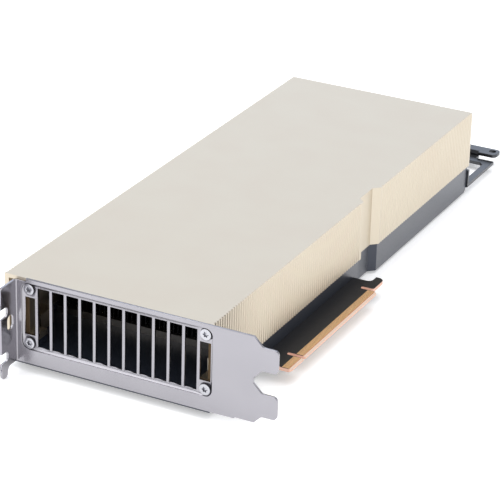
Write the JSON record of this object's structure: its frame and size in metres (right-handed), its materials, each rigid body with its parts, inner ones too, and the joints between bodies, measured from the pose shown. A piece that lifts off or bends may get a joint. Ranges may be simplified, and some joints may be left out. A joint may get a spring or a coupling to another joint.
{
  "type": "passive accelerator card",
  "caption": "Two-slot full-length accelerator card without fans: fluted gold cover, dark frame, grilled steel bracket, edge connector and rear extender.",
  "frame": {"origin": "middle of the bounding box in plan, at the height of the bracket's tail, its lowest point", "axes": "+X from the bracket's seat towards the edge contacts, +Y from the bracket towards the far end, +Z from the board up to the cover"},
  "size_m": [0.126, 0.3234, 0.0428],
  "materials": {
    "bracket_steel": "satin nickel-plated sheet",
    "screw_steel": "satin",
    "cover_gold": "satin pale gold anodised",
    "frame_dark": "satin dark grey",
    "board_black": "satin solder mask over glass-fibre board",
    "contact_gold": "gold plated",
    "substrate_green": "satin package substrate",
    "silicon_dark": "polished silicon",
    "thermal_grey": "matt soft pad",
    "cooler_metal": "satin",
    "choke_grey": "matt pressed powder",
    "chip_black": "matt moulding",
    "socket_black": "matt moulding",
    "pin_brass": "plated",
    "film_black": "matt film",
    "screw_black": "black"
  },
  "bodies": {
    "root": {"io_bracket": "bracket_steel", "bracket_screws": "screw_steel", "cover_shell": "cover_gold", "base_frame": "frame_dark", "backplate": "frame_dark", "circuit_board": "board_black", "edge_contacts_top": "contact_gold", "edge_contacts_bottom": "contact_gold", "processor_substrate": "substrate_green", "processor_die": "silicon_dark", "memory_stacks": "silicon_dark", "package_ring": "screw_steel", "thermal_interface": "thermal_grey", "cold_plate": "cooler_metal", "heatsink_fins": "cooler_metal", "power_chokes": "choke_grey", "choke_pads": "thermal_grey", "power_stages": "chip_black", "bulk_capacitors": "chip_black", "controller_chips": "chip_black", "power_socket": "socket_black", "power_pins": "pin_brass", "insulating_sheet": "film_black", "retention_plate": "screw_steel", "retention_screws": "screw_steel", "board_screws": "screw_steel", "cover_screws": "screw_steel", "backplate_screws": "screw_black", "rear_extender": "bracket_steel", "extender_screws": "screw_steel"}
  },
  "joints": []
}
